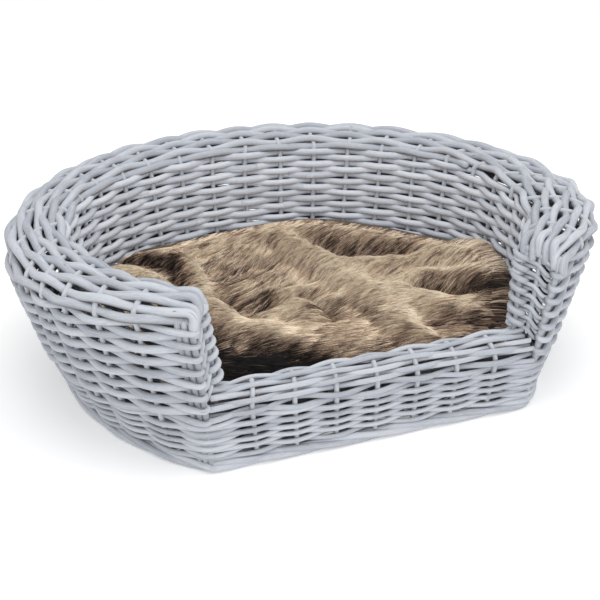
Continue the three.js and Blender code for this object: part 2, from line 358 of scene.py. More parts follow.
def math_node(nodes, links, operation, a, b=None):
    node = nodes.new("ShaderNodeMath")
    node.operation = operation
    for socket, value in zip(node.inputs, (a, b)):
        if value is None:
            continue
        if isinstance(value, (int, float)):
            socket.default_value = value
        else:
            links.new(value, socket)
    return node.outputs[0]


def noise_node(nodes, links, vector, scale, detail=2.0, rough=0.5):
    node = nodes.new("ShaderNodeTexNoise")
    node.inputs["Scale"].default_value = scale
    node.inputs["Detail"].default_value = detail
    node.inputs["Roughness"].default_value = rough
    links.new(vector, node.inputs["Vector"])
    return node.outputs["Fac"]


def ramp_node(nodes, links, value, stops):
    node = nodes.new("ShaderNodeValToRGB")
    ramp = node.color_ramp
    while len(ramp.elements) < len(stops):
        ramp.elements.new(0.5)
    for element, (position, colour) in zip(ramp.elements, stops):
        element.position = position
        element.color = (*colour, 1)
    links.new(value, node.inputs["Fac"])
    return node.outputs["Color"]


def mix_node(nodes, links, factor, a, b, blend="MIX"):
    node = nodes.new("ShaderNodeMix")
    node.data_type = "RGBA"
    node.blend_type = blend
    for socket, value in ((node.inputs["Factor"], factor), (node.inputs["A"], a), (node.inputs["B"], b)):
        if isinstance(value, (int, float)):
            socket.default_value = value
        elif isinstance(value, tuple):
            socket.default_value = (*value, 1)
        else:
            links.new(value, socket)
    return node.outputs["Result"]


def willow_material(name, light, shade):
    """Painted willow: fine grain along the rod, a tone per rod, knots and thin worn paint."""
    material, nodes, links, shader = new_material(name)
    along, around, rod_id = (attribute(nodes, key) for key in ("along", "around", "rod_id"))
    cos_round = math_node(nodes, links, "COSINE", around)
    sin_round = math_node(nodes, links, "SINE", around)
    grain = nodes.new("ShaderNodeCombineXYZ")
    links.new(math_node(nodes, links, "MULTIPLY", along, 0.035), grain.inputs[0])
    shift = math_node(nodes, links, "MULTIPLY", rod_id, 37.0)
    links.new(math_node(nodes, links, "ADD", cos_round, shift), grain.inputs[1])
    links.new(sin_round, grain.inputs[2])
    fibres = noise_node(nodes, links, grain.outputs[0], 5.0, 4.0, 0.65)
    patches = noise_node(nodes, links, grain.outputs[0], 1.1, 3.0, 0.55)
    tone = math_node(nodes, links, "MULTIPLY", fibres, 0.45)
    tone = math_node(nodes, links, "ADD", tone, math_node(nodes, links, "MULTIPLY", patches, 0.35))
    tone = math_node(nodes, links, "ADD", tone, math_node(nodes, links, "MULTIPLY", rod_id, 0.22))
    colour = ramp_node(nodes, links, tone, [(0.28, shade), (0.62, light)])
    knots = noise_node(nodes, links, grain.outputs[0], 2.3, 1.0)
    worn = ramp_node(nodes, links, knots, [(0.74, (0, 0, 0)), (0.80, (1, 1, 1))])
    colour = mix_node(nodes, links, worn, colour, tuple(0.62 * c for c in shade))
    # painted shade: the rod sides that face into the double wall, under the rim roll and behind the end
    # panels are painted near-black, as if in shadow, so the gaps look dark
    painted_shade_mask = ramp_node(nodes, links, attribute(nodes, "painted_shade_side"), [(0.1, (0, 0, 0)), (0.7, (0.85, 0.85, 0.85))])
    colour = mix_node(nodes, links, painted_shade_mask, colour, (0.11, 0.105, 0.105))
    links.new(colour, shader.inputs["Base Color"])
    rough = nodes.new("ShaderNodeMapRange")
    rough.inputs["To Min"].default_value = 0.62
    rough.inputs["To Max"].default_value = 0.88
    links.new(fibres, rough.inputs["Value"])
    links.new(rough.outputs[0], shader.inputs["Roughness"])
    bump = nodes.new("ShaderNodeBump")
    bump.inputs["Strength"].default_value = 0.5
    bump.inputs["Distance"].default_value = 0.0006
    links.new(fibres, bump.inputs["Height"])
    links.new(bump.outputs[0], shader.inputs["Normal"])
    shader.inputs["Specular IOR Level"].default_value = 0.25
    return material


WEAVERS = willow_material("willow_weavers", (0.525, 0.545, 0.588), (0.29, 0.31, 0.35))
# painted light: the inner siding gets a lighter copy of the weavers' paint, to brighten the inside of the
# basket where shade falls
INNER_WEAVERS_PAINTED_LIGHT = willow_material("willow_inner_weavers_painted_light", (0.64, 0.665, 0.72), (0.40, 0.42, 0.465))
STAKES = willow_material("willow_stakes", (0.50, 0.52, 0.557), (0.29, 0.31, 0.345))


# ---- the outer wall ----
FRONT_SPANS = FRONT_STAKES + 1
ROUND = LAST + FRONT_SPANS               # stakes in one full round, corner posts included
LOW_ROWS = 10                            # fine rounds woven right round, below the sill
LOW_START = 12.0
LOW_PITCH = 3.8
LOW_R = 2.4
LOW_TOP = LOW_START + LOW_PITCH * LOW_ROWS


def ring_point(k, z):
    """A weaver's middle line on the full round: the side wall, then the front, right to left."""
    k = np.asarray(k, float) % ROUND
    z_v = (z - FOOT["z"]) / (RIM_OUT["z"] - FOOT["z"])
    u = heading_at(np.clip(k, 0, LAST))
    side = side_wall(u, z_v)
    side_n = side_normal(u, z_v)
    share = 1 - 2 * np.clip(k - LAST, 0, FRONT_SPANS) / FRONT_SPANS
    v = np.interp(z, FRONT_LINE[:5, 1], np.arange(5))
    front = front_wall(share, v)
    corner_x = along_line(OUTER_POST, z)[..., 0]
    front[..., 0] = share * corner_x
    front_n = front_normal(share, v)
    on_side = (k <= LAST)[..., None]
    return np.where(on_side, side, front), np.where(on_side, side_n, front_n)


def low_rounds():
    """The rounds under the sill: one spiral over an odd number of stakes, so it alternates."""
    rods = []
    start = 14                           # at the middle of the back
    for number, (a, b) in enumerate(pieces_of_row(start, float(start + ROUND * LOW_ROWS), SEED, 19.0)):
        k = np.arange(a, b, 1 / STEPS)
        z = LOW_START + LOW_PITCH * (k - start) / ROUND + 0.5 * wave(k * 0.7, SEED + 40)
        signs = lambda n: np.where(n % 2 == 0, 1.0, -1.0)
        points, normal = ring_point(k, z)
        offset = weave_offset(k, signs)
        corner = np.minimum(np.abs((k % ROUND) - LAST), np.minimum(k % ROUND, ROUND - k % ROUND))
        offset = np.where(corner < 0.6, offset * 0.4 + 0.6 * (1 - corner / 0.6) + 0.3, offset)
        points = smooth(points + normal * (4.0 * offset)[:, None], 2)
        rods.append((points, rod_radius(len(k), LOW_R, SEED + number, flip=number % 2 == 1)))
    return rods


def turned_end(v, end, radius, reach=6.0, drop=1.5):
    """Points where a row on the outside turns round the wall's end and runs a little way back inside."""
    u = -1.0 if end == 0 else 1.0
    centre = side_wall(u, v)
    ahead = unit((centre - side_wall(u * 0.995, v)) * [1, 1, 0])
    out = side_normal(u * 0.998, v)
    angle = np.linspace(0.12, math.pi, 9)[:, None]
    arc = centre + radius * (out * np.cos(angle) + ahead * np.sin(angle)) - [0, 0, drop] * angle / math.pi
    back = arc[-1] - ahead * np.linspace(0, reach, 4)[1:, None]
    return np.concatenate([arc, back])


def turned_row(k, v, signs, seed, first, last, radius, **options):
    """A row's middle line and its radii. Outside a wall's end it turns round it; inside, it stops there."""
    points = [side_row(k, np.full(len(k), v), signs, seed, **options)]
    thin = np.linspace(0.78, 1.0, 13)
    thinned = np.ones(len(k))
    if first and signs(np.array(0)) > 0:
        points.insert(0, turned_end(v, 0, WEAVE_AMPLITUDE + 0.9)[::-1])
        thinned = np.concatenate([np.full(9, 0.78), thin[:3], thinned])
    if last and signs(np.array(LAST)) > 0:
        points.append(turned_end(v, LAST, WEAVE_AMPLITUDE + 0.9))
        thinned = np.concatenate([thinned, thin[2::-1], np.full(9, 0.78)])
    points = np.concatenate(points)
    return smooth(points, 1), rod_radius(len(points), radius, seed, flip=seed % 2 == 1) * thinned


def high_rows():
    """The rows above the sill, from arm to arm, woven round both outer posts."""
    rods = []
    for row, z in enumerate(np.arange(LOW_TOP + 4.5, RIM_OUT["z"] - 3, ROW_PITCH)):
        v = (z - FOOT["z"]) / (RIM_OUT["z"] - FOOT["z"])
        signs = lambda n, row=row: np.where((n + row) % 2 == 0, 1.0, -1.0)
        cuts = pieces_of_row(0.0, float(LAST), SEED + row)
        for number, (a, b) in enumerate(cuts):
            first, last = number == 0, number == len(cuts) - 1
            start = (0.12 if signs(np.array(0)) > 0 else 0.22) if first else a
            end = LAST - (0.1 if signs(np.array(LAST)) > 0 else 0.2) if last else b
            rods.append(turned_row(np.arange(start, end, 1 / STEPS), v, signs,
                                   SEED + 31 * row + number, first, last, WEAVER_R))
    return rods


RIM_R = 4.05
RIM_ROWS = 9                             # over the back; fewer reach the arms' ends


def rim_place(u, k, row):
    """Place v of a row across the rim at headings u, and whether the rim is still wide enough for it."""
    fine = np.linspace(1, 3.06, 62)
    points = side_wall(u[:, None], fine[None, :])
    steps = np.linalg.norm(np.diff(points, axis=1), axis=2)
    travelled = np.concatenate([np.zeros((len(u), 1)), np.cumsum(steps, axis=1)], axis=1)
    width = travelled[:, -3]
    near_end = np.minimum(k, LAST - k)
    rows = RIM_ROWS - 0.6 / (1 + np.exp((near_end - 6.5) * 2.5)) - 0.6 / (1 + np.exp((near_end - 2.8) * 2.5))
    across = 2.0 + (width - 3.5) / (rows - 1) * row
    v = np.array([np.interp(place, line, fine) for place, line in zip(across, travelled)])
    return v, across < width + 3.0


def finger(tip, away, down):
    """Points that carry a rim row over the arm's end and down its face."""
    turn = np.linspace(0, math.pi / 2, 6)[1:, None]
    arc = tip + away * 6 * np.sin(turn) + [0, 0, -1] * (6 * (1 - np.cos(turn)))
    drop = arc[-1] + ([0, 0, -1] - 0.12 * away) * np.linspace(0, down, 4)[1:, None]
    return np.concatenate([arc, drop])


def rim_rows():
    """Thick rows over the rim, parallel to its outer edge. The inner ones tuck under where it narrows."""
    rods = []
    for row in range(RIM_ROWS):
        signs = lambda n, row=row: np.where((n + row) % 2 == 1, 1.0, -1.0)
        k = np.arange(0.05, LAST - 0.04, 1 / STEPS)
        v, on_rim = rim_place(heading_at(k), k, row)
        k, v = k[on_rim], v[on_rim]
        side = np.tanh(3 * (k / LAST * 2 - 1))
        slant = 0.045 * np.sin(np.pi * (k - row - 1)) * side
        line = side_row(k, v + slant, signs, SEED + 90 + row, 3.1, 0.7)
        points = [line]
        if on_rim[0]:
            down = 7.0 + 5.0 * math.sin(math.pi * (v[0] - 1) / 2)
            points.insert(0, finger(line[0], unit((line[0] - line[1]) * [1, 1, 0]), down)[::-1])
            down = 7.0 + 5.0 * math.sin(math.pi * (v[-1] - 1) / 2)
            points.append(finger(line[-1], unit((line[-1] - line[-2]) * [1, 1, 0]), down))
        points = np.concatenate(points)
        rods.append((smooth(points, 1), rod_radius(len(points), RIM_R, SEED + 120 + row, 0.05)))
    return rods


def inner_rows():
    rods = []
    v_step = ROW_PITCH / (RIM_IN["z"] - INSIDE["z"])
    for row, v in enumerate(np.arange(3.03, 3.99, v_step)):
        signs = lambda n, row=row: np.where((n + row) % 2 == 0, 1.0, -1.0)
        cuts = pieces_of_row(0.0, float(LAST), SEED + 200 + row)
        for number, (a, b) in enumerate(cuts):
            first, last = number == 0, number == len(cuts) - 1
            k = np.arange(0.16 if first else a, LAST - 0.14 if last else b, 1 / STEPS)
            rods.append(turned_row(k, v, signs, SEED + 300 + 11 * row + number, first, last,
                                   WEAVER_R, wander=0.7))
    return rods


# ---- stakes and posts ----
def side_stakes():
    lines = []
    v = np.concatenate([np.linspace(0.0, 1, 12), np.linspace(1, 3, 15)[1:], np.linspace(3, 4, 12)[1:]])
    for number, u in enumerate(HEADINGS[1:-1]):
        sway = 0.0035 * wave(v * 2.5, SEED + 500 + number)
        lines.append((side_wall(u + sway, v), STAKE_R * (1 + 0.05 * wave(v * 3, number))))
    return lines


def front_stakes():
    v = np.linspace(0, len(FRONT_LINE) - 1, 30)
    lines = []
    for number in range(FRONT_STAKES):
        share = 2 * (number + 1) / FRONT_SPANS - 1
        line = smooth(front_wall(share, v), 2)
        lines.append((line, STAKE_R * (1 + 0.05 * wave(v, number))))
    return lines


def bundle(line, side, v_range, low, high, spacing, radius, back=0.0):
    """Three upright rods in a row along the wall, the core of a corner post."""
    v = np.linspace(*v_range, 14)
    away = unit((side_wall(0.97 * side, v) - side_wall(1.0 * side, v)) * [1, 1, 0])
    z = np.linspace(low, high, 14)
    centre = along_line(line, z) * [side, 1, 1]
    rods = []
    for n in range(3):
        rods.append((centre + away * (back + n * spacing + 0.4 * wave(z / 30, n + 5))[:, None], radius))
    return rods


def wrap(line, side, low, high, pitch, radius, rod, seed):
    """A rod wound round a post."""
    turns = (high - low) / pitch
    angle = np.linspace(0, 2 * math.pi * turns, int(turns * 14))
    z = low + (high - low) * angle / angle[-1]
    centre = along_line(line, z) * [side, 1, 1]
    reach = radius + 0.3 * wave(angle / 2, seed)
    turn = np.stack([np.cos(angle) * side, -np.sin(angle), -0.15 * np.cos(angle)], axis=-1)
    return centre + reach[:, None] * turn, rod * (1 + 0.06 * wave(angle / 3, seed + 1))


def end_panel(side):
    """Rows between an arm's two posts: level to the middle stake, then down to the outer post."""
    rods = []
    for row, z in enumerate(np.arange(80.0, 152.0, 5.1)):
        t = np.linspace(-0.04, 1.0, 15)
        fall = np.clip((t - 0.45) / 0.35, 0, 1)
        height = np.maximum(z - 9.0 * fall * fall * (3 - 2 * fall), 70.0)
        inner = along_line(INNER_POST, height)
        outer = along_line(OUTER_POST, height)
        points = inner + (outer - inner) * t[:, None]
        face = unit(np.cross(outer - inner, [0, 0, 1.0]))
        face *= np.sign(-face[:, 1:2])
        sign = 1.0 if row % 2 == 0 else -1.0
        bulge = np.interp(t, [0, 0.5, 1], [-1.8, 2.4 * sign, -1.8])
        points = smooth(points + face * bulge[:, None], 1) * [side, 1, 1]
        rods.append((points, 2.0))
    return rods


# ---- the front ----
def sill_rows():
    """Rows from the outer face over the sill and down inside. Those over the sill are finer."""
    lengths = np.linalg.norm(np.diff(FRONT_LINE[:, :2], axis=0), axis=1)
    travelled = np.concatenate([[0], np.cumsum(lengths)])
    rods = []
    place = np.interp(LOW_TOP + 2.6, FRONT_LINE[:4, 1], travelled[:4])
    row = 0
    while place < travelled[-1] - 3:
        v = np.interp(place, travelled, np.arange(len(travelled)))
        fine = place < travelled[5] + 4
        radius = 2.55 if fine else WEAVER_R * 0.95
        k = np.arange(-0.02, FRONT_SPANS + 0.02, 1 / STEPS)
        share = 2 * k / FRONT_SPANS - 1
        sign = 1.0 if row % 2 == 0 else -1.0
        offset = weave_offset(k, lambda n, s=sign: np.where(n % 2 == 0, s, -s))
        sag = 0.16 * wave(k * 0.9, SEED + 600 + row) if fine else 0.0
        line = front_wall(share, v + sag)
        amplitude = 2.6 if 3 < v < 5.5 else 3.6
        line = line + front_normal(share, np.full(len(k), v)) * (amplitude * offset)[:, None]
        rods.append((smooth(line, 1), rod_radius(len(k), radius, SEED + 640 + row, flip=row % 2 == 1)))
        place += 4.5 if fine else ROW_PITCH
        row += 1
    return rods


# ---- foot border and base ----
def foot_ring(k):
    """Plan point and outward direction on the foot's outline, k as in ring_point."""
    points, normal = ring_point(k, np.full(len(k), FOOT["z"]))
    return points, unit(normal * [1, 1, 0])


def foot_border():
    """Three thick rods laid up round the foot."""
    rods = []
    k = np.linspace(0, ROUND, ROUND * 8 + 1)
    points, normal = foot_ring(k)
    for n in range(3):
        angle = n * 2 * math.pi / 3 + k * 2 * math.pi / 4.4
        out = 1.0 + 2.7 * np.cos(angle)
        line = points + normal * out[:, None]
        line[:, 2] = 5.9 + 2.6 * np.sin(angle)
        rods.append((smooth(line, 3), 3.05 * (1 + 0.05 * wave(k, SEED + 700 + n))))
    return rods


def base_rods():
    """The sticks from front to back that the bottom is woven on."""
    rods = []
    for n in range(BASE_RODS):
        across = (n - (BASE_RODS - 1) / 2) / ((BASE_RODS + 1) / 2)
        x = across * (FOOT["a"] - BASE_INSET)
        front = FOOT["corner"][1] + BASE_INSET + (40 if abs(across) > 0.7 else 0)
        back = FOOT["wide"] + (FOOT["back"] - BASE_INSET - FOOT["wide"]) * math.sqrt(1 - across ** 2)
        y = np.linspace(front, back, 12)
        rods.append((np.stack([x + 0 * y, y, BASE_MIDDLE + 0 * y], axis=-1), BASE_ROD_R))
    return rods


def base_rows():
    """The bottom's weavers, from side to side over and under the base rods."""
    rods = []
    spacing = (FOOT["a"] - BASE_INSET) / ((BASE_RODS + 1) / 2)
    u = np.linspace(0, 1, 400)
    edge = outline(FOOT, u)
    edge = np.concatenate([edge, [[0, FOOT["corner"][1]]]])
    for row, y in enumerate(np.arange(FOOT["corner"][1] + 10, FOOT["back"] - 10, 6.1)):
        half = np.max(edge[:, 0][np.abs(edge[:, 1] - y) < 6], initial=0) - 8
        if half < 30:
            continue
        x = np.linspace(-half, half, max(16, int(half / 5)))
        sign = 1.0 if row % 2 == 0 else -1.0
        z = BASE_MIDDLE + sign * 3.2 * np.cos(np.pi * x / spacing)
        z = np.clip(z, 3.0, 12.0)
        line = np.stack([x, y + 0.6 * wave(x / 40, SEED + row), z], axis=-1)
        rods.append((line, rod_radius(len(x), 2.3, SEED + 800 + row, flip=row % 2 == 1)))
    return rods


def number_of(i):
    return f"{i + 1:02d}"


def weave(name, rods, node, material=WEAVERS, **options):
    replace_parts(add_rods(name, rods, material, **options), node)


def upright(name, rods, node):
    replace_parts(add_rods(name, rods, STAKES, slot="painted_willow_stakes"), node)


def build_arm_end(side, name):
    post = bundle(OUTER_POST, side, (0, 1), 6, 152, 5.6, 2.9)
    upright(f"arm_outer_post_{name}", post, f"outer_post_{name}")
    post = bundle(INNER_POST, side, (4, 3), 14, 154, 4.0, 2.4, -1.0)
    post.append(wrap(INNER_POST, side, 82, 154, 9.9, 6.3, 2.9, SEED + 60 + side))
    upright(f"arm_inner_post_{name}", post, f"inner_post_{name}")
    # the panel rods' back sides get painted shade, so its slots look dark
    weave(f"arm_end_weave_{name}", end_panel(side), f"end_panel_{name}", away=forwards)
    z = np.linspace(80, 158, 10)
    middle = (along_line(INNER_POST, z) + along_line(OUTER_POST, z)) / 2 * [side, 1, 1]
    upright(f"arm_end_stake_{name}", [(middle, STAKE_R)], f"end_stake_{name}")


def build_basket():
    # away picks the rod sides that get painted shade: those facing into the double wall, under the rim roll
    # and into the sill
    weave("outer_siding_weave", low_rounds() + high_rows(), "outer_siding", away=outwards)
    weave("rim_weave", rim_rows(), "rim_roll", away=upwards)
    weave("inner_siding_weave", inner_rows(), "inner_siding", INNER_WEAVERS_PAINTED_LIGHT, away=lambda p: -outwards(p))
    weave("front_and_sill_weave", sill_rows(), "front_wall", away=out_of_sill)
    weave("foot_border_rods", foot_border(), "foot_border", sides=10)
    weave("base_weavers", base_rows(), "base_weave", sides=6)
    for i, line in enumerate(base_rods()):
        upright(f"bottom_rod_{number_of(i)}", [line], f"base_rod_{number_of(i)}")
    for i, line in enumerate(side_stakes()):
        upright(f"stake_{number_of(i)}", [line], f"side_stake_{number_of(i)}")
    for i, line in enumerate(front_stakes()):
        upright(f"sill_stake_{number_of(i)}", [line], f"front_stake_{number_of(i)}")
    for side, name in ((-1, "left"), (1, "right")):
        build_arm_end(side, name)


build_basket()


# ---- the cushion ----
CUSHION_CENTRE = np.array([0.0, -20.0])
CUSHION_BOTTOM = 12.6
SEAM_Z = 28.0
# crests and creases of the loose cover: strength, width, then plan points. The strengths also set how light
# or dark the fur's tone is painted there, as light and shade on the folds
CRESTS = [
    (1.0, 11, [(40, 90), (50, 0), (70, -80), (80, -150)]),
    (0.9, 10, [(70, -80), (130, -50), (180, -90)]),
    (0.8, 10, [(70, -80), (150, -130)]),
    (0.6, 9, [(-20, -30), (50, -30)]),
    (0.6, 9, [(-30, -60), (40, -60)]),
    (0.9, 13, [(-160, 50), (-110, 10), (-70, -70), (-30, -120)]),
    (1.0, 8, [(-80, 70), (-80, 0)]),
    (0.5, 14, [(80, -10), (130, 0), (170, -30)]),
]
CREASES = [
    (1.1, 14, [(60, 80), (80, 40), (140, 20)]),
    (0.6, 14, [(-50, 30), (-10, 50)]),
    (1.0, 11, [(-70, 0), (-60, -50), (-30, -30)]),
    (0.9, 8, [(10, -50), (20, -90)]),
    (1.1, 9, [(110, -70), (180, -100)]),
    (1.0, 13, [(90, -130), (140, -130)]),
    (3.2, 20, [(-130, -90), (-110, -130), (-50, -140)]),
    (0.5, 15, [(-50, -150), (130, -160)]),
    (1.7, 10, [(-140, 80), (-100, 60), (-100, 20)]),
    (1.0, 12, [(180, -100), (150, -150)]),
]


def inside_share(x, y, grow=0.0):
    """1 on the cushion's outline, less inside it."""
    a = INSIDE["a"] - 6 + grow
    back = INSIDE["back"] - 6 + grow
    wide = INSIDE["wide"]
    front = 250.0
    depth = np.where(y > wide, back - wide, front)
    oval = np.sqrt((x / a) ** 2 + ((y - wide) / depth) ** 2)
    straight = (wide - y) / (wide - INSIDE["corner"][1] - 9.5 + grow)
    return np.maximum(oval, straight)


def outline_radius():
    """The cushion's smoothed outline as its distance from the middle, one value per degree."""
    angle = np.arange(360) * math.pi / 180
    low, high = np.zeros(360), np.full(360, 320.0)
    for _ in range(30):
        mid = (low + high) / 2
        x = CUSHION_CENTRE[0] + mid * np.cos(angle)
        y = CUSHION_CENTRE[1] + mid * np.sin(angle)
        within = inside_share(x, y) < 1
        low, high = np.where(within, mid, low), np.where(within, high, mid)
    for _ in range(40):
        low = 0.5 * low + 0.25 * (np.roll(low, 1) + np.roll(low, -1))
    return low * 0.995


EDGE_RADIUS = outline_radius()


def edge_distance(x, y):
    """Distance in from the cushion's outline, measured towards its middle."""
    dx, dy = x - CUSHION_CENTRE[0], y - CUSHION_CENTRE[1]
    angle = np.degrees(np.arctan2(dy, dx)) % 360
    whole = np.floor(angle).astype(int)
    part = angle - whole
    radius = EDGE_RADIUS[whole % 360] * (1 - part) + EDGE_RADIUS[(whole + 1) % 360] * part
    return radius - np.hypot(dx, dy)


def near_line(x, y, line, width):
    """1 on a line of plan points, falling away smoothly over its width."""
    best = np.full(np.shape(x), 1e9)
    for (ax, ay), (bx, by) in zip(line[:-1], line[1:]):
        dx, dy = bx - ax, by - ay
        t = np.clip(((x - ax) * dx + (y - ay) * dy) / (dx * dx + dy * dy), 0, 1)
        best = np.minimum(best, (x - ax - t * dx) ** 2 + (y - ay - t * dy) ** 2)
    return np.exp(-best / (2 * width * width))


def warped(x, y):
    return x + 4 * wave2(x / 38 + 9, y / 38, SEED + 901), y + 4 * wave2(x / 38, y / 38 + 5, SEED + 902)


def crest_lines(x, y):
    """1 along the middle of the crests, where the pile parts and its pale roots show."""
    warp_x, warp_y = warped(x, y)
    return np.max([power * near_line(warp_x, warp_y, line, 3.8) for power, _, line in CRESTS], axis=0)


def relief(x, y):
    """Positive on the cover's crests and negative in its creases."""
    warp_x, warp_y = warped(x, y)
    up = sum(power * near_line(warp_x, warp_y, line, width) for power, width, line in CRESTS)
    down = sum(power * near_line(warp_x, warp_y, line, width) for power, width, line in CREASES)
    return up - down


def cushion_top(x, y):
    d = edge_distance(x, y)
    front = 1 / (1 + np.exp((y + 120) / 14))
    behind = 1 / (1 + np.exp((40 - y) / 20))
    right = ((1 - 0.9 * behind / (1 + np.exp((105 - x) / 15))) / (1 + np.exp((60 - x) / 25))
             + 2.6 / (1 + np.exp((165 - x) / 12)) / (1 + np.exp((y + 5) / 18)))
    left = np.exp(-((x + 130) ** 2 + (y - 80) ** 2) / (2 * 42 ** 2))
    t = np.clip(d / (7 + 34 * front), 0, 1)
    full = (68 + 0.03 * y + 0.04 * np.maximum(y, 0) + 8 * right + 12 * left - 9 * front
            + 2.5 * wave2(x / 60, y / 60, SEED + 903) + 8.5 * np.tanh(relief(x, y)))
    return SEAM_Z + (full - SEAM_Z) * np.sqrt(1 - (1 - t) ** 2)


def cushion_under(x, y):
    t = np.clip(edge_distance(x, y) / 22, 0, 1)
    wrinkles = 1.1 * np.abs(wave2(x / 23, y / 17, SEED + 906))
    return SEAM_Z - (SEAM_Z - CUSHION_BOTTOM - wrinkles) * np.sqrt(1 - (1 - t) ** 2)


def leaned(x, y, z):
    """Plan points moved outwards as they rise at the edge, as the basket's wall leans."""
    edge = edge_distance(x, y)
    dx, dy = x - CUSHION_CENTRE[0], y - CUSHION_CENTRE[1]
    radius = np.hypot(dx, dy) + 1e-6
    out = 6.5 * np.clip((z - SEAM_Z) / 60, 0, 1) * np.exp(-np.maximum(edge, 0) / 14) / radius
    out = out * np.clip((y + 150) / 60, 0, 1)
    return x + dx * out, y + dy * out


def shell(name, height, inset, lift, material, slot, start=0.0, under=None):
    """A thick shell: its outer surface, then its inner one, closed at the seam.

    under, where it is given, is the second surface: the underside of a pad."""
    segments, rings = 180, 46
    share = np.sin(np.linspace(0, 1, rings + 1)[1:] * math.pi / 2)
    angle = np.arange(segments) * 2 * math.pi / segments
    edge = np.interp(angle, np.arange(361) * math.pi / 180, np.append(EDGE_RADIUS, EDGE_RADIUS[0]))
    rows, poles = [], []
    for grow, rise, order in ((start, 0.0, share), (start - inset, lift, share[::-1])):
        for s in order:
            x = CUSHION_CENTRE[0] + s * edge * np.cos(angle)
            y = CUSHION_CENTRE[1] + s * edge * np.sin(angle)
            z = height(x, y)
            x, y = leaned(x, y, z)
            z = under(x, y) if under is not None and rise else z + rise * min(1, (1 - s) * 8)
            pull = (edge + grow) / edge
            y = CUSHION_CENTRE[1] + (y - CUSHION_CENTRE[1]) * pull
            rows.append(np.stack([x * pull, y, z], axis=-1))
        middle = np.zeros(1), np.full(1, CUSHION_CENTRE[1])
        middle = (under if under is not None and rise else height)(*middle)[0] + rise
        poles.append([CUSHION_CENTRE[0], CUSHION_CENTRE[1], middle])
    verts = np.concatenate([np.concatenate(rows), np.array(poles)])
    total = len(rows)
    i = np.arange(total - 1)[:, None] * segments
    j = np.arange(segments)[None, :]
    k = (j + 1) % segments
    quads = np.stack([i + j, i + segments + j, i + segments + k, i + k], axis=-1).reshape(-1, 4)
    first, last = total * segments, total * segments + 1
    end = (total - 1) * segments
    caps = np.array([(first, n, (n + 1) % segments) for n in range(segments)]
                    + [(last, end + (n + 1) % segments, end + n) for n in range(segments)])
    if lift > 0:
        quads, caps = quads[:, ::-1], caps[:, ::-1]
    return add_mesh(name, verts, [quads, caps], {}, material, body="cushion", slot=slot)


def fur_material():
    """Fur from near black through brown and tan to cream, by each strand's tone."""
    material, nodes, links, shader = new_material("fur")
    colour = ramp_node(nodes, links, attribute(nodes, "tone"), [
        (0.0, (0.008, 0.006, 0.006)), (0.22, (0.05, 0.032, 0.024)), (0.45, (0.33, 0.22, 0.158)),
        (0.65, (0.67, 0.505, 0.37)), (0.85, (0.90, 0.765, 0.59)), (1.0, (0.97, 0.87, 0.70))])
    links.new(colour, shader.inputs["Base Color"])
    shader.inputs["Roughness"].default_value = 0.6
    shader.inputs["Specular IOR Level"].default_value = 0.25
    shader.inputs["Sheen Weight"].default_value = 0.06
    return material


def cloth_material(name, dark, light, scale):
    material, nodes, links, shader = new_material(name)
    place = nodes.new("ShaderNodeTexCoord").outputs["Object"]
    tone = noise_node(nodes, links, place, scale, 4.0)
    links.new(ramp_node(nodes, links, tone, [(0.35, dark), (0.65, light)]), shader.inputs["Base Color"])
    shader.inputs["Roughness"].default_value = 0.9
    bump = nodes.new("ShaderNodeBump")
    bump.inputs["Strength"].default_value = 0.3
    bump.inputs["Distance"].default_value = 0.0008
    links.new(noise_node(nodes, links, place, scale * 12, 2.0), bump.inputs["Height"])
    links.new(bump.outputs[0], shader.inputs["Normal"])
    return material


FUR_FLOW = math.radians(217)             # the way the pile lies, as a heading in plan
STRANDS = 117000
STRANDS_PER_PIECE = 9000


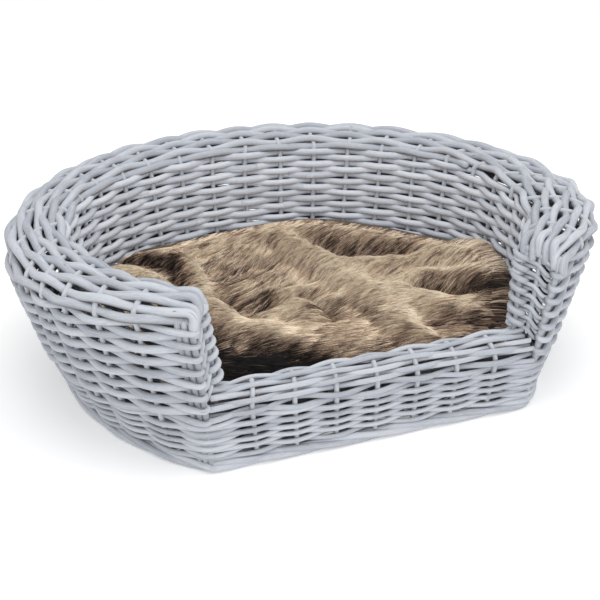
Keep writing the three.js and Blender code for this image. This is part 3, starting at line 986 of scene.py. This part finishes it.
def fur_strands(count):
    """Middle lines and tones of fur strands, all at once: (count, points, 3) and (count, points)."""
    rng = np.random.default_rng(SEED + 1000)
    reach = INSIDE["a"]
    x = rng.uniform(-reach, reach, count * 3)
    y = rng.uniform(INSIDE["corner"][1], INSIDE["back"], count * 3)
    keep = edge_distance(x, y) > 0.5
    x, y = x[keep][:count], y[keep][:count]
    step = 1.5
    z = cushion_top(x, y)
    grad_x = (cushion_top(x + step, y) - cushion_top(x - step, y)) / (2 * step)
    grad_y = (cushion_top(x, y + step) - cushion_top(x, y - step)) / (2 * step)
    normal = unit(np.stack([-grad_x, -grad_y, np.ones_like(x)], axis=-1))
    # strands gather into long narrow locks, each with its own lean and shade
    behind = np.clip((y + 115) / 60, 0, 1)
    drift = math.radians(184) + math.radians(31) * behind + 0.22 * wave2(x / 70, y / 70, SEED + 912)
    along = x * math.cos(FUR_FLOW) + y * math.sin(FUR_FLOW)
    across = y * math.cos(FUR_FLOW) - x * math.sin(FUR_FLOW) + 5 * wave2(x / 30, y / 30, SEED + 910)
    lock_across = np.round(across / 2.6)
    lock_along = np.round(along / 18 + 0.5 * (lock_across % 2) + 0.6 * wave2(x / 9, y / 9, SEED + 911))
    lock = (lock_along * 73 + lock_across * 151).astype(int)
    lock_random = np.random.default_rng(SEED + 5).uniform(-1, 1, (2048, 3))[lock % 2048]
    heading = drift + 0.10 * lock_random[:, 0] + rng.normal(0, 0.05, len(x))
    flow = np.stack([np.cos(heading), np.sin(heading), 0 * x], axis=-1)
    # inside the border the strands follow the folds; at the border they lie flat
    edge = edge_distance(x, y)
    tilt = np.maximum(0.15 + 0.3 / (1 + np.exp((y + 100) / 15)), 0.7 * np.clip((edge - 8) / 22, 0, 1))
    normal = unit(normal * np.stack([tilt, tilt, 1 + 0 * tilt], axis=-1))
    downhill = np.stack([-grad_x, -grad_y, 0 * x], axis=-1)
    steep = np.linalg.norm(downhill, axis=-1, keepdims=True)
    flow = flow + downhill / (1 + steep) * 0.2
    # towards the right-hand border more and more strands hang down the side
    chance = np.clip(1.1 - edge / 24, 0, 1) * np.clip((x - 90) / 60, 0, 1) * np.clip((10 - y) / 50, 0, 1)
    hanging = rng.uniform(0, 1, len(x)) < chance
    out = unit(np.stack([x - CUSHION_CENTRE[0], y - CUSHION_CENTRE[1], 0 * x - 60], axis=-1))
    flow = np.where(hanging[:, None], out, flow)
    flow = unit(flow - normal * np.sum(flow * normal, axis=-1, keepdims=True))
    border = np.clip(edge / 22, 0, 1)
    length = (18 + 9 * border) * (1 + 0.10 * lock_random[:, 1] + rng.normal(0, 0.12, len(x)))
    t = np.linspace(0, 1, 5)[None, :]
    lean = np.radians(80 - 24 * border + 4 * lock_random[:, 2])[:, None] + t * math.radians(30)
    rise = np.concatenate([0 * lean[:, :1], np.cumsum(np.cos(lean[:, 1:]), axis=1)], axis=1) / 4
    run = np.concatenate([0 * lean[:, :1], np.cumsum(np.sin(lean[:, 1:]), axis=1)], axis=1) / 4
    root_x, root_y = leaned(x, y, z)
    root = np.stack([root_x, root_y, z - 1.0], axis=-1)
    points = (root[:, None] + length[:, None, None] * (
        normal[:, None] * rise[..., None] + flow[:, None] * run[..., None]))
    aside = (lock_across * 2.6 - across)[:, None]
    gather = aside * np.array([-math.sin(FUR_FLOW), math.cos(FUR_FLOW), 0.0])
    points = points + gather[:, None] * (0.4 * t[..., None] ** 1.5)
    points[..., 2] -= 2.5 * t ** 2
    # keep inside the basket
    share = inside_share(points[..., 0], points[..., 1], grow=-0.5 + 0.11 * (points[..., 2] - 30))
    pull = np.where(share > 1, 1 / share, 1.0)
    points[..., 0] *= pull
    points[..., 1] = INSIDE["wide"] + (points[..., 1] - INSIDE["wide"]) * pull
    points[..., 2] = np.maximum(points[..., 2], SEAM_Z - 8)
    # painted light and shade: the fur's tone follows the folds' relief, lighter on crests and darker in
    # creases, down to near black in the deep front-left crease. crest_lines adds the pale roots that show
    # where the pile parts, and dark locks gather where the painted shade is darkest
    at_x, at_y = points[:, ::2, 0], points[:, ::2, 1]
    shade = np.clip(relief(at_x, at_y), -2.4, 0.9)
    mottle = wave2(at_x / 24, at_y / 24, SEED + 913)
    lit = 0.74 + 0.28 * shade + 0.30 * crest_lines(at_x, at_y) + 0.08 * mottle
    lit = np.where(lit > 0.76, 0.76 + 0.22 * np.tanh((lit - 0.76) / 0.22), lit)
    dark_lock = lock_random[:, 1:2] < -0.35 - 0.5 * shade
    lit = lit + (0.10 * lock_random[:, 1] + rng.normal(0, 0.15, len(x)))[:, None] - 0.18 * dark_lock
    tone = np.empty(points.shape[:2])
    tone[:, ::2] = lit
    tone[:, 1::2] = (lit[:, 1:] + lit[:, :-1]) / 2
    tone = tone + 0.05 - 0.10 * t ** 1.3
    return points, np.clip(tone, 0, 1)


def build_fur(material):
    count = STRANDS
    points, tone = fur_strands(count)
    count, steps = points.shape[:2]
    radius = np.array([0.29, 0.31, 0.27, 0.18]) * 1.0
    tangent = unit(np.gradient(points, axis=1))
    side = unit(np.cross(tangent, [0.0, 0.0, 1.0]) + 1e-6)
    up = np.cross(side, tangent)
    angle = np.arange(3) * 2 * math.pi / 3
    ring = (np.cos(angle)[None, None, :, None] * side[:, :-1, None]
            + np.sin(angle)[None, None, :, None] * up[:, :-1, None])
    body = points[:, :-1, None] + ring * radius[None, :, None, None]
    per = 3 * (steps - 1) + 1
    verts = np.concatenate([body.reshape(count, -1, 3), points[:, -1:]], axis=1)
    tones = np.concatenate([np.repeat(tone[:, :-1], 3, axis=1), tone[:, -1:]], axis=1)
    quads = np.array([(3 * i + j, 3 * i + (j + 1) % 3, 3 * i + 3 + (j + 1) % 3, 3 * i + 3 + j)
                      for i in range(steps - 2) for j in range(3)])
    tip = per - 1
    tris = np.array([(tip - 3 + j, tip - 3 + (j + 1) % 3, tip) for j in range(3)] + [(2, 1, 0)])
    for number, start in enumerate(range(0, count, STRANDS_PER_PIECE)):
        v = verts[start:start + STRANDS_PER_PIECE]
        offset = (np.arange(len(v)) * per)[:, None, None]
        add_mesh(f"fur_{number + 1:02d}", v.reshape(-1, 3),
                 [(quads[None] + offset).reshape(-1, 4), (tris[None] + offset).reshape(-1, 3)],
                 dict(tone=tones[start:start + STRANDS_PER_PIECE].ravel()), material,
                 body="cushion", slot="cushion_fur")


def build_cushion():
    backing = cloth_material("fur_backing", (0.08, 0.055, 0.04), (0.14, 0.10, 0.07), 60.0)
    lining = cloth_material("lining", (0.30, 0.25, 0.19), (0.38, 0.32, 0.25), 90.0)
    fibre = cloth_material("filling", (0.75, 0.74, 0.72), (0.85, 0.84, 0.82), 40.0)
    cover = shell("fur_cover_backing", cushion_top, 3.0, -3.0, backing, "cushion_fur")
    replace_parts(cover, "cushion_fur_cover")
    under = shell("lining_underside", cushion_under, 3.0, 3.0, lining, "cushion_lining")
    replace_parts(under, "cushion_lining")
    fill = shell("loose_filling", lambda x, y: cushion_top(x, y) - 6, 1.0, -1.0, fibre, "cushion_filling",
                 start=-7.0, under=lambda x, y: cushion_under(x, y) + 6)
    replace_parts(fill, "cushion_filling")
    build_fur(fur_material())


build_cushion()


# ---- camera, floor and light ----
def build_camera():
    azimuth, elevation, distance = math.radians(-22.7), math.radians(24.1), 1.6111
    target = np.array([0.0472, 0.0806, 0.0097])
    back = np.array([math.sin(azimuth) * math.cos(elevation),
                     -math.cos(azimuth) * math.cos(elevation), math.sin(elevation)])
    data = bpy.data.cameras.new("camera")
    data.lens = 91.0
    data.sensor_width = 36.0
    camera = bpy.data.objects.new("camera", data)
    camera.location = target + back * distance
    camera.rotation_euler = (math.pi / 2 - elevation, 0, azimuth)
    bpy.context.collection.objects.link(camera)
    bpy.context.scene.camera = camera


def build_floor():
    mesh = bpy.data.meshes.new("floor")
    size = 6.0
    corners = [(-size, -size, 0), (size, -size, 0), (size, size, 0), (-size, size, 0)]
    mesh.from_pydata(corners, [], [(0, 1, 2, 3)])
    material, _, _, shader = new_material("floor")
    shader.inputs["Base Color"].default_value = (0.84, 0.84, 0.84, 1)
    shader.inputs["Roughness"].default_value = 0.9
    shader.inputs["Emission Color"].default_value = (1, 1, 1, 1)
    shader.inputs["Emission Strength"].default_value = 0.24
    mesh.materials.append(material)
    floor = bpy.data.objects.new("floor", mesh)
    bpy.context.collection.objects.link(floor)


def add_light(name, place, power, size):
    data = bpy.data.lights.new(name, "AREA")
    data.energy = power
    data.size = size
    light = bpy.data.objects.new(name, data)
    light.location = place
    direction = -np.array(place)
    yaw = math.atan2(direction[1], direction[0]) - math.pi / 2
    pitch = math.acos(-direction[2] / np.linalg.norm(direction))
    light.rotation_euler = (pitch, 0, yaw)
    bpy.context.collection.objects.link(light)


def build_light():
    world = bpy.data.worlds.new("world")
    world.use_nodes = True
    background = world.node_tree.nodes["Background"]
    background.inputs["Color"].default_value = (1, 1, 1, 1)
    background.inputs["Strength"].default_value = 0.83
    bpy.context.scene.world = world
    add_light("front", (-0.3, -1.9, 1.1), 10.5, 1.2)
    add_light("above", (0.0, -0.3, 1.3), 6.5, 1.0)
    bpy.context.scene.view_settings.view_transform = "Standard"


build_camera()
build_floor()
build_light()
